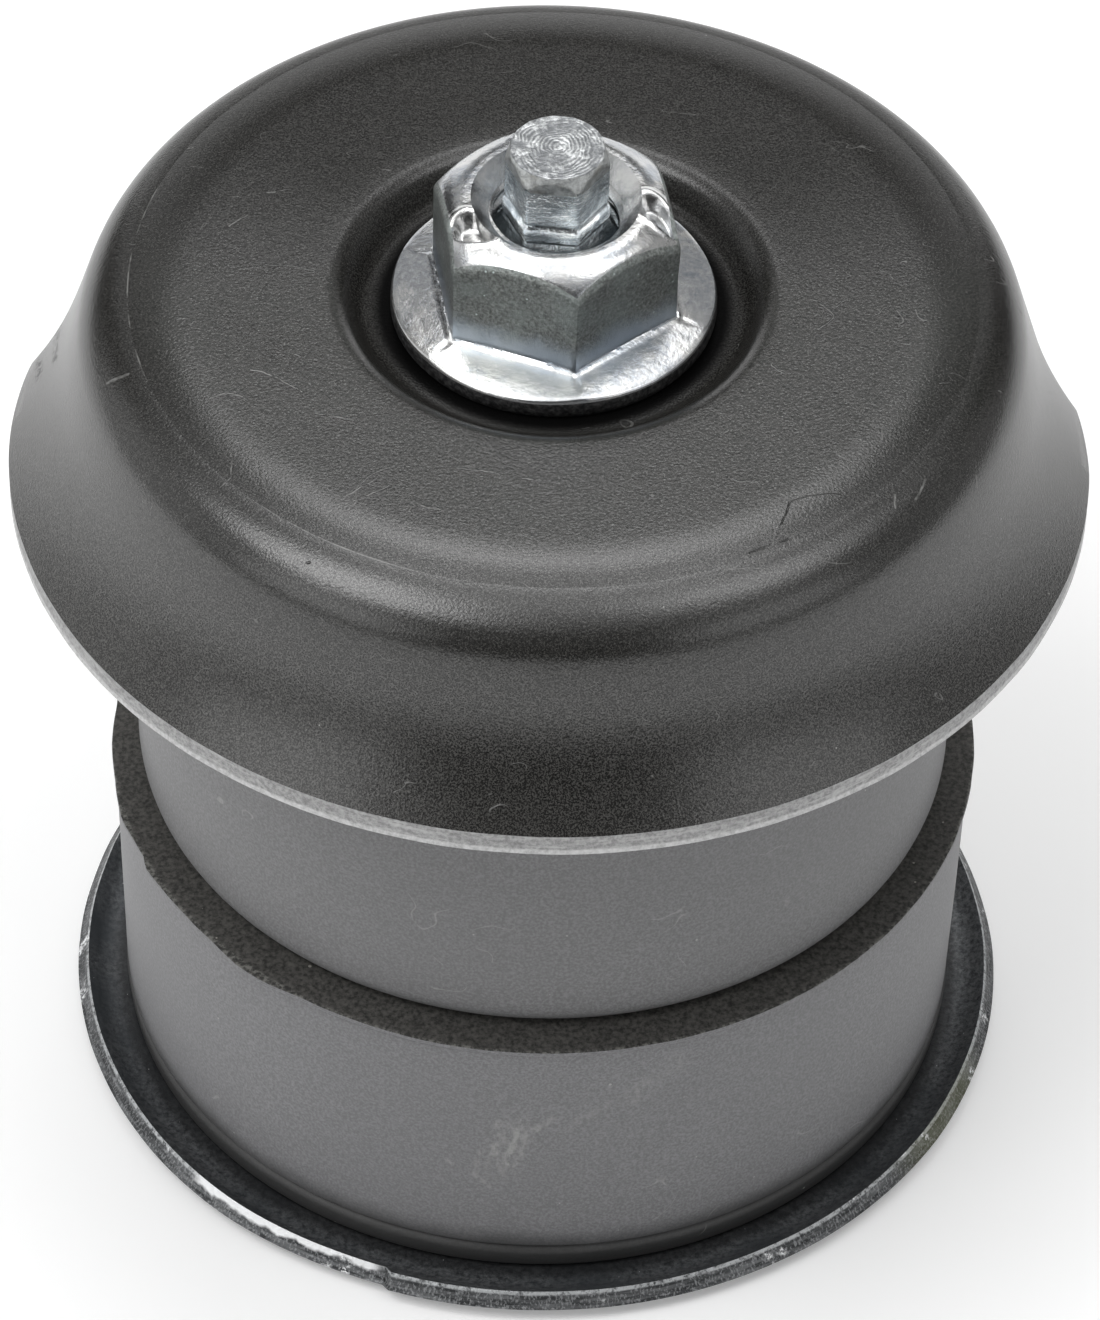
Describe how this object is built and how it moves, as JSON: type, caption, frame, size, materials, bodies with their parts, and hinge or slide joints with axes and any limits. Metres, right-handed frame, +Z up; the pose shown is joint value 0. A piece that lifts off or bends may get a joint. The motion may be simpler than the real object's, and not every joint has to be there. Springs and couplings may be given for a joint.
{
  "type": "radiator mount",
  "caption": "Upright radiator mount: rubber cushions stacked between a flared steel cup and a dished washer, held by a bolt and flange nut.",
  "frame": {"origin": "on the mount's axis, in the plane that the washer's flat ring stands on", "axes": "+Z up along the axis towards the nut; +X to the right and -Y towards the viewer of the picture; the cup's rear cut faces +Y"},
  "size_m": [0.0876, 0.0847, 0.0954],
  "materials": {
    "black_steel": "satin black coating with fine specks and scratches",
    "washer_steel": "dark blue-grey sheet with a bright sheared edge",
    "plain_steel": "plain drawn tube",
    "bolt_zinc": "bright bluish zinc plating",
    "nut_zinc": "bright bluish zinc plating, grainy on the flats",
    "upper_rubber": "satin grey-black rubber",
    "lower_rubber": "satin grey-black rubber with chalky scuffs"
  },
  "bodies": {
    "stack": {"lower_washer": "washer_steel", "lower_cushion": "lower_rubber", "upper_cushion": "upper_rubber", "spacer_sleeve": "plain_steel", "upper_cup": "black_steel"},
    "screw": {"bolt": "bolt_zinc"},
    "nut": {"flange_nut": "nut_zinc"}
  },
  "joints": [
    {"name": "bolt_turn", "type": "hinge", "parent": "stack", "child": "screw", "pos_m": [0, 0, 0.05], "axis": [0, 0, -1], "range_deg": [0, 1800]},
    {"name": "nut_travel", "type": "slide", "parent": "stack", "child": "nut", "axis": [0, 0, 1], "range_m": [0, 0.00875]}
  ],
  "couplings": [
    {"joint": "nut_travel", "follows": "bolt_turn", "m_per_rad": 0.00027852}
  ]
}
